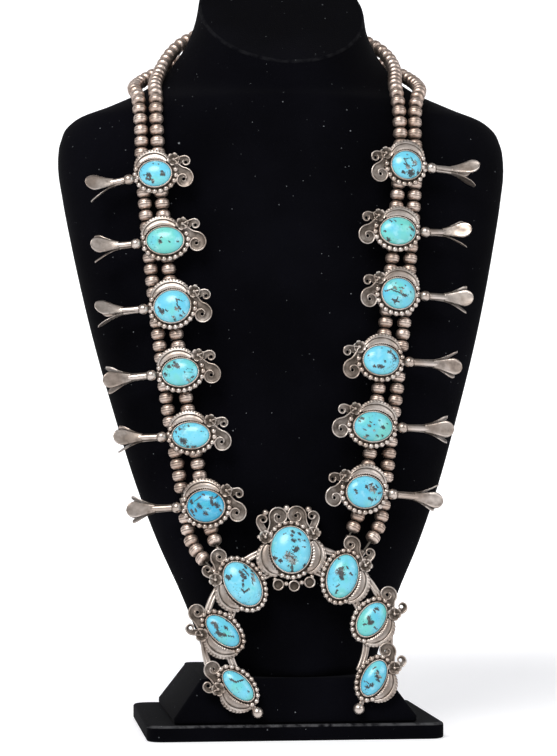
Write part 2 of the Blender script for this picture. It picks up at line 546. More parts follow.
def add_piece(name, parts, material, nodes, attribute="relief"):
    """One mesh from closed parts, each turned so that its faces point outwards. It rides on the
    body, takes its finish from the slot and stands for the nodes."""
    points, quads, tris, values, start = [], [], [], [], 0
    for co, q, t, v in parts:
        q, t = outward(co, q, t)
        points.append(co)
        quads.append(q + start)
        tris.append(t + start)
        values.append(v)
        start += len(co)
    mesh = new_mesh(name, np.vstack(points), np.vstack(quads), np.vstack(tris),
                    {attribute: np.concatenate(values)})
    finish_piece(name, mesh, material, nodes)


def finish_piece(name, mesh, material, nodes):
    """The mesh as an object that rides on the body and stands for its nodes."""
    obj = bpy.data.objects.new(name, mesh)
    bpy.context.scene.collection.objects.link(obj)
    mesh.materials.append(material)
    mesh.update()
    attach(obj, "root")
    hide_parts(*nodes)


# Frames of the pieces. A place is (rows of axes, origin).


def facing(p, n):
    """Axes with Z along the outward direction n, X level and Y up."""
    x = unit(np.array([-n[1], n[0], 0.0]))
    x = x if -n[1] > 0 else -x
    return np.array([x, np.cross(n, x), n]), np.asarray(p, float)


def blossom_place(side, i):
    b = BLOSSOMS[side][i]
    n = bust_normal(b[0], b[1])
    axes, origin = facing(on_bust(b[0], b[1]) + BLOSSOM_LIFT * n, n)
    return axes * np.array([[-1.0 if side else 1.0], [1], [1]]), origin


def naja_place():
    s, c = np.sin(NAJA_TILT), np.cos(NAJA_TILT)
    return np.array([[1.0, 0, 0], [0, s, c], [0, -c, s]]), NAJA_FOOT


def flat_turn(degrees, mirrored=False):
    """Turn in the plane, then a mirror of X."""
    a = np.radians(degrees)
    axes = np.array([[np.cos(a), np.sin(a), 0], [-np.sin(a), np.cos(a), 0], [0, 0, 1]])
    return axes * np.array([-1.0, 1, 1]) if mirrored else axes


def cluster_place(i):
    """Turned and mirrored on the naja's face, then leaned with it."""
    axes, origin = naja_place()
    c = CLUSTERS[i]
    return flat_turn(c[5], i > 3) @ axes, np.array([c[0], c[1], BAR_TOP]) @ axes + origin


def on_line_place(k, s):
    """Axes with Z along the thread."""
    d = heading(k, s)
    x = unit(np.cross(d, [0.13, -0.99, 0.05]))
    return np.array([x, np.cross(d, x), d]), along(k, s)


# Outlines round a stone, which is (half width, half height, turn)


def stone_radius(st, f):
    g = np.radians(f - st[2])
    return st[0] * st[1] / np.hypot(st[1] * np.cos(g), st[0] * np.sin(g))


def rim(st, off, f):
    """Point at an angle round a stone, a distance outside its outline."""
    f = np.asarray(f, float)
    r = stone_radius(st, f) + off
    return np.stack([r * np.cos(np.radians(f)), r * np.sin(np.radians(f))], -1)


def even_angles(st, off, start, stop, gap):
    f = np.linspace(start, stop, 61)
    d = distances(rim(st, off, f))
    n = int(d[-1] // gap)
    return np.interp(np.arange(n + 1) * d[-1] / n, d, f)


def lifted(flat, z):
    return np.concatenate([flat, np.broadcast_to(np.asarray(z, float), flat.shape[:-1])[..., None]], -1)


def back_plate(st):
    """Sheet under a stone: its outline carried through a section with softened edges."""
    f = np.arange(72) * 5.0
    section = [(0.2, 0, 0.1), (PLATE_RIM - 0.1, 0, 0.1), (PLATE_RIM, 0.2, 0.5), (PLATE_RIM, 0.85, 0.6),
               (PLATE_RIM - 0.15, SHEET, 0.5), (PLATE_RIM - 1.2, SHEET, 0.1), (0.2, SHEET, 0.02)]
    return skin([lifted(rim(st, off, f), z) for off, z, _ in section],
                np.array([[m] for _, _, m in section]) * np.ones(72))


def bezel(st):
    """Thin wall round a stone, whose upper edge has fine teeth and leans on the stone."""
    teeth = round(np.pi * (st[0] + st[1]) / 0.8)
    f = np.arange(teeth * 4) * 90 / teeth
    wave = 0.5 + 0.5 * np.cos(np.radians(f * teeth))
    rows, mask = [], []
    for off, z, bright in BEZEL_SECTION:
        top = z > 1.7
        rows.append(lifted(rim(st, off - 0.07 * wave * top, f), SHEET + z - 0.22 * wave * top))
        mask.append(bright * (1 - 0.55 * wave * top))
    return skin(rows, mask, loop=True)


def grains(st, start, stop, r):
    """Half-ball beads in a row round the bezel."""
    angles = even_angles(st, LEAF_GAP + r, start, stop, 2 * r + 0.05)
    places = lifted(rim(st, LEAF_GAP + r, angles), SHEET + 0.1)
    return copies(ball(r, sides=12, bands=5, low=-25), places)


def leaf(st, start, stop, width):
    """Leaf along the bezel: its section of two fins and a midrib is carried between two angles,
    leaves the bezel towards the tip, and has a toothed inner and a scalloped outer edge."""
    teeth = round((stop - start) / 7.5)
    t = np.linspace(0, 1, teeth * 6 + 1)[:, None]
    share, height, ribs, bright = LEAF_SECTION.T[:, None, :]
    wave = np.abs(np.sin(np.pi * teeth * t))
    breadth = width * np.sin(np.radians(24 + 154 * t)) ** 0.7
    inner = LEAF_GAP - 0.45 + 0.8 * t * t + 0.75 * (1 - wave) * (share < 0.05)
    outer = LEAF_GAP + 2.4 * t * t + breadth - 0.35 * (1 - wave) * (share > 0.9)
    off = inner + share * (outer - inner)
    slender = np.clip(breadth / (0.55 * width), 0.15, 1)
    comb = ribs * (wave - 0.6) * 0.16
    z = SHEET + np.where(height > 0, (height + comb) * slender, height)
    f = start + t * (stop - start) + 2.5 * ribs * (share > 0.75)
    points = lifted(rim(st, off, np.broadcast_to(f, off.shape)), z)
    return skin(points, np.clip(bright * (0.86 - 0.5 * ribs * (1 - wave)), 0, 1))


def flower(place, r):
    """Dish of six petals: a section turned round, whose radius and height dip between petals,
    with a ball in its middle."""
    f = np.arange(48) * 7.5
    petal = np.abs(np.cos(np.radians(3 * (f - 15))))
    dip = (1 - petal) ** 1.5
    share, height, bright = FLOWER_SECTION.T[:, :, None]
    radius = r * share * (1 - 0.2 * dip * np.clip(share, 0, 1) ** 2)
    z = SHEET + height * r / 2.6 - np.where(height > 0.3, 0.3 * dip * share, 0)
    points = np.stack([radius * np.cos(np.radians(f)), radius * np.sin(np.radians(f)),
                       np.broadcast_to(z, radius.shape)], -1)
    centre = np.array([place[0], place[1], 0])
    dish = skin(points + centre, np.clip(bright * (1 - 0.75 * dip), 0, 1))
    heart = moved(ball(0.27 * r, 12, 6), centre + [0, 0, SHEET + 0.62 * r / 2.6])
    return [dish, heart]


def scroll_path(sc, tail, steps=60):
    """Spiral whose radius grows by a power of the way along it, then a soft arm to the flower."""
    eye, r_out, r_in, end, turn, power = sc
    t = np.linspace(0, 1, steps)
    f = np.radians(end - turn * (1 - t))
    curl = eye + (r_in + (r_out - r_in) * t ** power)[:, None] * np.stack([np.cos(f), np.sin(f)], -1)
    gap = tail - curl[-1]
    leave = unit(curl[-1] - curl[-2]) * np.linalg.norm(gap)
    s = np.linspace(0, 1, 14)[1:, None]
    arm = ((2 * s ** 3 - 3 * s ** 2 + 1) * curl[-1] + (s ** 3 - 2 * s ** 2 + s) * leave
           + (3 * s ** 2 - 2 * s ** 3) * tail + (s ** 3 - s ** 2) * gap)
    return curl, arm


def scroll(sc, tail, root):
    """Wire along the scroll's path, and a dished sheet between the path's last turn and arm on one
    side and the pierced eye and the bezel on the other."""
    curl, arm = scroll_path(sc, tail)
    path = np.vstack([curl, arm])
    wire = tube(lifted(path, SHEET + 0.55), [0, 0, 1], WIRE_R, 1.0, sides=8, flat=1.4)
    last_turn = curl[max(0, int(len(curl) * (1 - 360 / sc[4]))):]
    hole = sc[0] + EYE_R * unit(last_turn - sc[0])
    s = np.linspace(0, 1, len(arm))[:, None]
    outer = np.vstack([last_turn, arm])
    inner = np.vstack([hole, hole[-1] + s * (root - hole[-1])])
    across = np.array([0, 0, 0.15, 0.35, 0.6, 0.82, 1, 1])
    height = np.array([0.05, 0.85, 0.78, 0.62, 0.62, 0.8, 1.0, 0.05]) * SHEET
    bright = np.array([0.1, 0.42, 0.22, 0.26, 0.28, 0.24, 0.08, 0.25])
    flat = inner[:, None, :] + across[None, :, None] * (outer - inner)[:, None, :]
    sheet = skin(lifted(flat, np.broadcast_to(height, flat.shape[:2])), np.tile(bright, (len(outer), 1)))
    return [wire, sheet]


def ornament(st, turn, at, sizes):
    """Plate, bezel, half-ball beads, leaf, two scrolls and a flower round a stone."""
    place = rim(st, FLOWER_OFF, turn + FLOWER_AT)
    off, outer, inner, end, sweep, power = SMALL_SCROLL
    small = (rim(st, off, turn + at[1]), outer, inner, turn + at[1] + end, sweep, power)
    off, inner, end, sweep, power = LARGE_SCROLL
    large = (rim(st, sizes[3] + off, turn + at[2]), sizes[3], inner, turn + at[2] + end, sweep, power)
    root = rim(st, 1, turn + 20)
    return [back_plate(st), bezel(st), grains(st, turn + at[0] + 6, turn + 374, sizes[2]),
            leaf(st, turn + LEAF_FROM, turn + at[0], sizes[0]),
            *scroll(small, place, root), *scroll(large, place, root), *flower(place, sizes[1])]


# Trumpet of a blossom, along its own Z axis


def petal(length, turn):
    """Paddle of sheet: a strip that leaves the stem along a flaring curve, widens, closes in a half
    round and is dished towards its end."""
    u = np.linspace(0, 1, 30)[:, None]
    radius = 1.8 + (FLARE_R - 1.9) * u ** 1.5
    round_end = np.sqrt(np.clip(1 - np.clip((u - 0.68) / 0.32, 0, 1) ** 2, 0.0004, 1))
    width = np.interp(u, [0.02, 0.33, 0.6, 0.68], [2.0, 2.9, 4.05, 4.3]) * round_end
    s = np.linspace(-1, 1, 11)
    s = np.r_[s, s[-2:0:-1]][None, :]
    inside = np.r_[np.zeros(11), np.ones(9)][None, :]
    soft = np.where(np.abs(s) > 0.99, 0.5, inside)
    r = radius - PETAL_SHEET * soft + (0.9 * u - 0.45) * (s ** 2 - 0.35)
    f = np.radians(turn)
    z = length - PETAL_SPAN + u * PETAL_SPAN + 0 * s
    points = np.stack([r * np.cos(f) - width * s * np.sin(f), r * np.sin(f) + width * s * np.cos(f), z], -1)
    mask = 0.44 - 0.18 * inside - 0.3 * (np.abs(s) > 0.9) * (u < 0.3) + 0.3 * (np.abs(s) > 0.75) * (u > 0.5)
    return skin(points, np.clip(mask, 0, 1))


def trumpet(start, length, turn):
    """Neck, ball and a stem of three soft lobes that ends in three petals, one towards the front
    and turned up a little."""
    turn = 180 + turn
    neck = skin(*spin([[1.0, start + 0.4], [1.25, start + 0.7], [1.25, start + 1.4], [0.95, start + 1.7],
                       [0.95, start + 3.2]], 14, [0.4, 0.8, 0.8, 0.3, 0.2]))
    middle = start + 3 + STEM_BALL_R
    knob = ball(STEM_BALL_R, 24, 14)
    knob = (knob[0] + [0, 0, middle], knob[1], knob[2], np.clip(1.1 - np.abs(knob[0][:, 2]) / 3.4, 0.1, 1))
    z = np.linspace(middle + STEM_BALL_R - 0.7, length - PETAL_SPAN + 3.4, 24)[:, None]
    f = np.radians(np.arange(30) * 12)[None, :]
    t = (z - z[0]) / (z[-1] - z[0])
    lobes = np.abs(np.cos(1.5 * (f - np.radians(turn))))
    r = (1.85 + 0.4 * t ** 1.6) * (1 - (0.04 + 0.2 * t) * (1 - lobes) ** 1.5)
    stem = skin(np.stack([r * np.cos(f), r * np.sin(f), z + 0 * f], -1),
                np.clip(0.8 - 0.75 * (1 - lobes) ** 2 - 0.6 * (t < 0.04), 0, 1))
    return [neck, knob, stem, *[petal(length, turn + a) for a in (0, 120, 240)]]


TRUMPET_AXES = np.array([[0, 0, -1.0], [0, 1, 0], [1, 0, 0]])


def shank(k, s, length, place):
    """Drilled tube on the thread and the short post that joins it to the plate above."""
    h = length / 2
    bore = BORE_D / 2
    rows, mask = spin([[bore, -h], [SHANK_R - 0.15, -h], [SHANK_R, 0.2 - h], [SHANK_R, h - 0.2],
                       [SHANK_R - 0.15, h], [bore, h]], 18, [0.2, 0.6, 0.7, 0.7, 0.6, 0.2])
    sleeve = turned(skin(rows, mask, loop=True), on_line_place(k, s))
    p = along(k, s)
    n = place[0][2]
    rise = (place[1] - p) @ n + 0.4
    post = turned(skin(*spin([[1.2, 1.1], [1.2, rise]], 14, [0.3, 0.3])), facing(p, n))
    return [sleeve, post]


# Materials


def new_material(name):
    """Material with its node tree and its Principled shader."""
    material = bpy.data.materials.new(name)
    material.use_nodes = True
    tree = material.node_tree
    shader = next(n for n in tree.nodes if n.type == "BSDF_PRINCIPLED")
    return material, tree, shader


def add_node(tree, kind, inputs=None, **settings):
    """Node of a kind with its settings; inputs are values, or sockets to link."""
    node = tree.nodes.new(kind)
    for key, value in settings.items():
        setattr(node, key, value)
    for key, value in (inputs or {}).items():
        if isinstance(value, bpy.types.NodeSocket):
            tree.links.new(value, node.inputs[key])
        else:
            node.inputs[key].default_value = value
    return node


def colour(rgb):
    return (*rgb, 1.0)


def ramp(tree, value, low, high):
    """Smooth step of a value from 0 at low to 1 at high."""
    node = add_node(tree, "ShaderNodeMapRange", {"Value": value, "From Min": low, "From Max": high},
                    interpolation_type="SMOOTHSTEP")
    return node.outputs["Result"]


def math(tree, operation, a, b):
    return add_node(tree, "ShaderNodeMath", {0: a, 1: b}, operation=operation).outputs[0]


def mix(tree, factor, a, b):
    """Mix of two colours, which are sockets or RGB."""
    a, b = (v if isinstance(v, bpy.types.NodeSocket) else colour(v) for v in (a, b))
    node = tree.nodes.new("ShaderNodeMix")
    node.data_type = "RGBA"
    for key, value in ((0, factor), (6, a), (7, b)):
        if isinstance(value, bpy.types.NodeSocket):
            tree.links.new(value, node.inputs[key])
        else:
            node.inputs[key].default_value = value
    return node.outputs[2]


def noise(tree, coordinates, scale, detail=3.0):
    return add_node(tree, "ShaderNodeTexNoise", {"Vector": coordinates, "Scale": scale, "Detail": detail}
                    ).outputs["Fac"]


def attribute(tree, name):
    return add_node(tree, "ShaderNodeAttribute", attribute_name=name).outputs["Fac"]


def add_bump(tree, shader, height, strength, distance):
    """Bump from a height into the shader's normal."""
    bump = add_node(tree, "ShaderNodeBump", {"Height": height, "Strength": strength, "Distance": distance})
    tree.links.new(bump.outputs[0], shader.inputs["Normal"])


def specks(tree, place, scale, size):
    """Mask of one round speck in each cell of a pattern, and a random value for the cell."""
    cells = add_node(tree, "ShaderNodeTexVoronoi", {"Vector": place, "Scale": scale})
    pick = add_node(tree, "ShaderNodeSeparateColor", {"Color": cells.outputs["Color"]}).outputs[0]
    return math(tree, "LESS_THAN", cells.outputs["Distance"], size), pick


def bent_place(tree, place):
    """Coordinates pushed about by a noise, by up to a millimetre."""
    push = add_node(tree, "ShaderNodeTexNoise", {"Vector": place, "Scale": 420.0}).outputs["Color"]
    return add_node(tree, "ShaderNodeVectorMath", {0: push, 1: (0.002, 0.002, 0.002), 2: place},
                    operation="MULTIPLY_ADD").outputs[0]


def object_coordinates(tree):
    return add_node(tree, "ShaderNodeTexCoord").outputs["Object"]


def tarnish_group():
    """Group that dulls metal: from a relief value and coordinates it gives a mask of dark tarnish,
    a mask of fine scratches and a height for bump."""
    group = bpy.data.node_groups.new("aged_silver_wear", "ShaderNodeTree")
    face = group.interface
    face.new_socket("Vector", in_out="INPUT", socket_type="NodeSocketVector")
    face.new_socket("Relief", in_out="INPUT", socket_type="NodeSocketFloat")
    face.new_socket("Age", in_out="INPUT", socket_type="NodeSocketFloat")
    for name in ("Tarnish", "Scratches", "Height"):
        face.new_socket(name, in_out="OUTPUT", socket_type="NodeSocketFloat")
    start = group.nodes.new("NodeGroupInput")
    end = group.nodes.new("NodeGroupOutput")
    vector = start.outputs["Vector"]
    cloud = noise(group, vector, 260.0, 5.0)
    grit = noise(group, vector, 1500.0, 2.0)
    drawn = add_node(group, "ShaderNodeMapping", {"Vector": vector, "Scale": (1.0, 1.0, 6.0)})
    lines = noise(group, drawn.outputs[0], 1100.0, 2.0)
    worn = math(group, "ADD", start.outputs["Relief"], math(group, "MULTIPLY",
                math(group, "SUBTRACT", cloud, 0.5), 0.7))
    dark = math(group, "SUBTRACT", 1.0, ramp(group, worn, 0.05, 0.75))
    group.links.new(math(group, "MULTIPLY", dark, start.outputs["Age"]), end.inputs["Tarnish"])
    group.links.new(ramp(group, lines, 0.45, 0.75), end.inputs["Scratches"])
    height = math(group, "ADD", math(group, "MULTIPLY", cloud, 1.2), math(group, "MULTIPLY", grit, 0.5))
    group.links.new(height, end.inputs["Height"])
    return group


def silver_material(name, settings, relief=True, age=1.0, shade=(1, 1, 1), satin=0.0):
    """Aged silver: bright on raised parts, brown in the recesses, softly scratched."""
    material, tree, shader = new_material(name)
    place = object_coordinates(tree)
    group = bpy.data.node_groups.get("aged_silver_wear") or tarnish_group()
    wear = add_node(tree, "ShaderNodeGroup", {}, node_tree=group)
    tree.links.new(place, wear.inputs["Vector"])
    wear.inputs["Age"].default_value = age
    if relief:
        tree.links.new(attribute(tree, "relief"), wear.inputs["Relief"])
    else:
        wear.inputs["Relief"].default_value = 0.7
    bright = [c * s for c, s in zip(settings.silver, shade)]
    warm = [c * s for c, s in zip(settings.warm_silver, shade)]
    patches = mix(tree, ramp(tree, noise(tree, place, 90.0), 0.4, 0.62), bright, warm)
    body = mix(tree, wear.outputs["Tarnish"], patches, settings.tarnish)
    tree.links.new(body, shader.inputs["Base Color"])
    rough = math(tree, "ADD", math(tree, "MULTIPLY", wear.outputs["Tarnish"], 0.3),
                 math(tree, "ADD", math(tree, "MULTIPLY", wear.outputs["Scratches"], 0.14),
                      settings.roughness + satin))
    tree.links.new(rough, shader.inputs["Roughness"])
    metal = math(tree, "SUBTRACT", 1.0, math(tree, "MULTIPLY", wear.outputs["Tarnish"], 0.35))
    tree.links.new(metal, shader.inputs["Metallic"])
    add_bump(tree, shader, wear.outputs["Height"], 0.2, 0.00008)
    return material


def velvet_material(settings):
    """Black velvet: a fine pile, soft clouds where it is brushed, specks of lint, and worn edges."""
    material, tree, shader = new_material("black_velvet")
    place = object_coordinates(tree)
    cloud = noise(tree, place, 14.0, 4.0)
    pile = noise(tree, place, 1300.0, 2.0)
    body = mix(tree, ramp(tree, cloud, 0.35, 0.75), settings.velvet, settings.velvet_light)
    worn = attribute(tree, "wear")
    patchy = math(tree, "MULTIPLY", worn, ramp(tree, noise(tree, place, 260.0, 4.0), 0.3, 0.62))
    body = mix(tree, patchy, body, settings.worn)
    for scale, size in ((38.0, 0.022), (90.0, 0.032), (150.0, 0.045), (230.0, 0.05)):
        speck, pick = specks(tree, place, scale, size)
        spot = math(tree, "MULTIPLY", speck, ramp(tree, pick, 0.2, 1.3))
        body = mix(tree, math(tree, "MULTIPLY", spot, settings.lint_amount), body, settings.lint)
    tree.links.new(body, shader.inputs["Base Color"])
    shader.inputs["Roughness"].default_value = 1.0
    shader.inputs["Specular IOR Level"].default_value = 0.03
    shader.inputs["Sheen Weight"].default_value = 0.012
    shader.inputs["Sheen Roughness"].default_value = 0.5
    shader.inputs["Sheen Tint"].default_value = (0.7, 0.7, 0.75, 1)
    add_bump(tree, shader, pile, 0.5, 0.0003)
    return material


def turquoise_material(settings):
    """Polished turquoise: sky blue to deep blue or green, pale clouds, dark matrix with brown edges
    and tan patches. Its attributes are green, deep, vein and tan."""
    material, tree, shader = new_material("veined_turquoise")
    place = object_coordinates(tree)
    value = {name: attribute(tree, name) for name in ("green", "deep", "vein", "tan")}
    broad = noise(tree, place, 130.0, 3.0)
    fine = noise(tree, place, 1300.0, 4.0)
    body = mix(tree, value["deep"], settings.sky, settings.deep_blue)
    uneven = math(tree, "MULTIPLY", math(tree, "SUBTRACT", broad, 0.5), 1.8)
    greener = math(tree, "ADD", value["green"], uneven)
    body = mix(tree, ramp(tree, greener, 0.05, 0.95), body, settings.green)
    body = mix(tree, math(tree, "MULTIPLY", ramp(tree, noise(tree, place, 210.0, 4.0), 0.52, 0.72), 0.4),
               body, settings.pale)
    rough_edge = math(tree, "MULTIPLY", math(tree, "SUBTRACT", fine, 0.5), 1.9)
    tan = ramp(tree, math(tree, "ADD", value["tan"], rough_edge), 0.42, 0.62)
    body = mix(tree, math(tree, "MULTIPLY", tan, 0.75), body, settings.tan)
    vein = math(tree, "ADD", value["vein"], rough_edge)
    body = mix(tree, math(tree, "MULTIPLY", ramp(tree, vein, 0.3, 0.5), 0.5), body, settings.brown)
    body = mix(tree, math(tree, "MULTIPLY", ramp(tree, vein, 0.42, 0.6), 0.93), body, settings.black)
    near = math(tree, "ADD", math(tree, "MAXIMUM", value["vein"], value["tan"]), noise(tree, place, 150.0))
    cracks = add_node(tree, "ShaderNodeTexVoronoi", {"Vector": bent_place(tree, place), "Scale": 330.0},
                      feature="DISTANCE_TO_EDGE")
    line = math(tree, "SUBTRACT", 1.0, ramp(tree, cracks.outputs["Distance"], 0.02, 0.11))
    crack = math(tree, "MULTIPLY", line, ramp(tree, near, 0.58, 0.8))
    body = mix(tree, math(tree, "MULTIPLY", crack, 0.7), body, settings.brown)
    for scale, size, rare in ((620.0, 0.24, 0.82), (1300.0, 0.34, 0.78)):
        speck, pick = specks(tree, place, scale, size)
        fleck = math(tree, "MULTIPLY", speck, math(tree, "GREATER_THAN", pick, rare))
        fleck = math(tree, "MULTIPLY", fleck, ramp(tree, near, 0.45, 0.7))
        body = mix(tree, math(tree, "MULTIPLY", fleck, 0.75), body, settings.black)
    tree.links.new(body, shader.inputs["Base Color"])
    tree.links.new(math(tree, "ADD", math(tree, "MULTIPLY", ramp(tree, vein, 0.3, 0.6), 0.25), 0.27),
                   shader.inputs["Roughness"])
    shader.inputs["IOR"].default_value = 1.6
    height = math(tree, "SUBTRACT", math(tree, "MULTIPLY", fine, 0.15), ramp(tree, vein, 0.35, 0.65))
    add_bump(tree, shader, height, 0.4, 0.00008)
    return material


def thread_material(settings):
    """Grey stringing cord with a fine twist."""
    material, tree, shader = new_material("stringing_cord")
    place = object_coordinates(tree)
    twist = add_node(tree, "ShaderNodeTexWave", {"Vector": place, "Scale": 900.0, "Distortion": 3.0})
    body = mix(tree, twist.outputs["Fac"], [c * 0.45 for c in settings.cord], settings.cord)
    tree.links.new(body, shader.inputs["Base Color"])
    shader.inputs["Roughness"].default_value = 0.8
    add_bump(tree, shader, twist.outputs["Fac"], 0.6, 0.0001)
    return material


def made(name, maker, *arguments, **options):
    """The material of a name, made the first time it is asked for."""
    return bpy.data.materials.get(name) or maker(*arguments, **options)


# Settings


def rgb_property(name, description, default):
    return bpy.props.FloatVectorProperty(name=name, description=description, default=default,
                                         subtype="COLOR", size=3, min=0, max=1)


class VelvetSettings(bpy.types.PropertyGroup):
    """Colours of the bust and its base."""

    velvet: rgb_property("Velvet", "Colour of the velvet", (0.001, 0.001, 0.0017))
    velvet_light: rgb_property("Brushed velvet", "Colour where the pile is brushed", (0.0024, 0.0024, 0.004))
    lint: rgb_property("Lint", "Colour of lint specks", (0.3, 0.32, 0.34))
    worn: rgb_property("Worn edge", "Colour of the worn edges", (0.2, 0.2, 0.21))
    lint_amount: bpy.props.FloatProperty(name="Lint", description="Strength of the lint specks",
                                         default=0.7, min=0, max=1, subtype="FACTOR")
    edge_radius: bpy.props.FloatProperty(name="Edge radius", description="Radius of the base's edges",
                                         default=1.3 * MM, min=0.5 * MM, max=2.5 * MM,
                                         subtype="DISTANCE", unit="LENGTH")
    rim_radius: bpy.props.FloatProperty(name="Rim radius", description="Radius of the neck's rim",
                                        default=1.6 * MM, min=0.5 * MM, max=3 * MM,
                                        subtype="DISTANCE", unit="LENGTH")


class SilverSettings(bpy.types.PropertyGroup):
    """Colours of the silver and its thread."""

    silver: rgb_property("Silver", "Colour of bright silver", (0.66, 0.585, 0.535))
    warm_silver: rgb_property("Warm silver", "Colour of silver that has yellowed", (0.49, 0.405, 0.35))
    tarnish: rgb_property("Tarnish", "Colour in the recesses", (0.06, 0.045, 0.034))
    cord: rgb_property("Cord", "Colour of the stringing cord", (0.13, 0.11, 0.09))
    roughness: bpy.props.FloatProperty(name="Roughness", description="Roughness of bright silver",
                                       default=0.3, min=0.02, max=0.6, subtype="FACTOR")


class StoneSettings(bpy.types.PropertyGroup):
    """Colours of the turquoise."""

    sky: rgb_property("Sky blue", "Colour of the light stones", (0.17, 0.62, 0.8))
    deep_blue: rgb_property("Deep blue", "Colour of the deep stones", (0.03, 0.38, 0.62))
    green: rgb_property("Green blue", "Colour of the greener stones", (0.15, 0.6, 0.55))
    pale: rgb_property("Pale clouds", "Colour of clouds in the stone", (0.5, 0.84, 0.9))
    brown: rgb_property("Brown matrix", "Colour at the edges of the matrix", (0.07, 0.075, 0.07))
    black: rgb_property("Black matrix", "Colour of the matrix", (0.008, 0.011, 0.018))
    tan: rgb_property("Tan matrix", "Colour of the tan patches", (0.3, 0.2, 0.14))


class StudioSettings(bpy.types.PropertyGroup):
    """Floor and light."""

    floor: rgb_property("Floor", "Colour of the floor", (0.66, 0.66, 0.67))
    key_power: bpy.props.FloatProperty(name="Key light", description="Power of the key light",
                                       default=19.0, min=0, max=200, subtype="POWER", unit="POWER")
    sky_strength: bpy.props.FloatProperty(name="Sky", description="Strength of the even light",
                                          default=0.24, min=0, max=4)


# Pieces


def rounded_outline(w, d, corner, count=6):
    """Rectangle with round corners, as a closed line of points."""
    f = np.radians(np.linspace(0, 90, count))
    arc = corner * np.stack([np.cos(f), np.sin(f)], -1)
    middle = np.array([w / 2 - corner, d / 2 - corner])
    turns = [np.array([[0, 1], [-1, 0]]), np.array([[-1, 0], [0, -1]]), np.array([[0, -1], [1, 0]])]
    signs = [(-1, 1), (-1, -1), (1, -1)]
    parts = [middle + arc] + [middle * s + arc @ m for m, s in zip(turns, signs)]
    return np.vstack(parts)


def soft_slab(levels, radius):
    """Stack of rounded rectangles (width, depth, corner, height) with round lower and upper edges."""
    f = np.radians(np.linspace(0, 90, 6))
    low, high = levels[0], levels[-1]
    rows = [(low[0] - 2 * radius * (1 - np.sin(a)), low[1] - 2 * radius * (1 - np.sin(a)), low[2],
             low[3] + radius * (1 - np.cos(a)), 0) for a in f]
    rows += [(*level, 0) for level in levels[1:-1]]
    rows += [(high[0] - 2 * radius * (1 - np.cos(a)), high[1] - 2 * radius * (1 - np.cos(a)), high[2],
              high[3] - radius * (1 - np.sin(a)), np.sin(a) > 0.3) for a in f]
    rows += [(high[0] - 2 * radius - inset, high[1] - 2 * radius - inset, high[2], high[3], 0)
             for inset in SLAB_INSETS]
    points = np.array([lifted(rounded_outline(w, d, c), z) for w, d, c, z, _ in rows])
    edge = np.array([r[4] for r in rows], float)[:, None] * np.ones(points.shape[1])
    return points, edge


class NECKLACE_OT_bust(bpy.types.Operator):
    """Bust of black velvet: its sections joined by smooth curves, with a rounded rim at the neck"""

    bl_idname = "necklace.bust"
    bl_label = "Neck bust"

    def execute(self, context):
        settings = context.scene.necklace_velvet
        radius = settings.rim_radius / MM
        top = BUST_ROWS[-1, 0]
        low, close, step, close_step = BUST_STEPS
        z = np.r_[np.arange(low, close, step), np.arange(close, top - radius, close_step), top - radius]
        a = np.arange(BUST_COUNT) * 360 / BUST_COUNT
        points = on_bust(a[None, :], z[:, None], smooth_column)
        collar = points[-1]
        middle = collar.mean(0)
        up = unit(np.array([0, -BUST_ROWS[-1, 6], 1]))
        inward = unit(middle - collar)
        f = np.radians(RIM_TURNS)
        curl = [collar + radius * (1 - np.cos(b)) * inward + radius * np.sin(b) * up for b in f]
        face = [curl[-1] + d * inward for d in FACE_STEPS]
        rows = np.concatenate([points, curl, face])
        wear = np.zeros(rows.shape[:2])
        wear[-8:-5] = RIM_WEAR
        add_piece("bust_velvet", [skin(rows, wear)], made("black_velvet", velvet_material, settings),
                  ["neck_bust"], "wear")
        return {"FINISHED"}


class NECKLACE_OT_base(bpy.types.Operator):
    """Base of the bust: a plate and a tapered block, covered in velvet with soft edges"""

    bl_idname = "necklace.base"
    bl_label = "Base"

    def execute(self, context):
        settings = context.scene.necklace_velvet
        material = made("black_velvet", velvet_material, settings)
        radius = settings.edge_radius / MM
        w, d, h, corner = PLATE
        points, edge = soft_slab([(w, d, corner, 0), (w, d, corner, h)], radius)
        edge *= 0.3 * (points[..., 1] < -d / 2 + WORN_FRONT)
        add_piece("plate_velvet", [skin(points, edge)], material, ["base_plate"], "wear")
        foot, top = BLOCK_FOOT, BLOCK_TOP
        levels = [(foot[0], foot[1], BLOCK_CORNER, h), (foot[0], foot[1], BLOCK_CORNER, h + foot[2]),
                  (top[0], top[1], BLOCK_CORNER, top[2])]
        points, edge = soft_slab(levels, radius)
        add_piece("block_velvet", [skin(points, 0 * edge)], material, ["base_block"], "wear")
        return {"FINISHED"}


class NECKLACE_OT_threads(bpy.types.Operator):
    """Finish of the threads and of the clasp at the nape"""

    bl_idname = "necklace.threads"
    bl_label = "Threads and clasp"

    def execute(self, context):
        settings = context.scene.necklace_silver
        cord = made("stringing_cord", thread_material, settings)
        metal = made("clasp_silver", silver_material, "clasp_silver", settings, relief=False, age=0.6)
        finishes = {"thread_" + s: cord for s in STRANDS}
        finishes["clasp"] = metal
        for node, material in finishes.items():
            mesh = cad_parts[node].data
            mesh.materials.clear()
            mesh.materials.append(material)
        return {"FINISHED"}


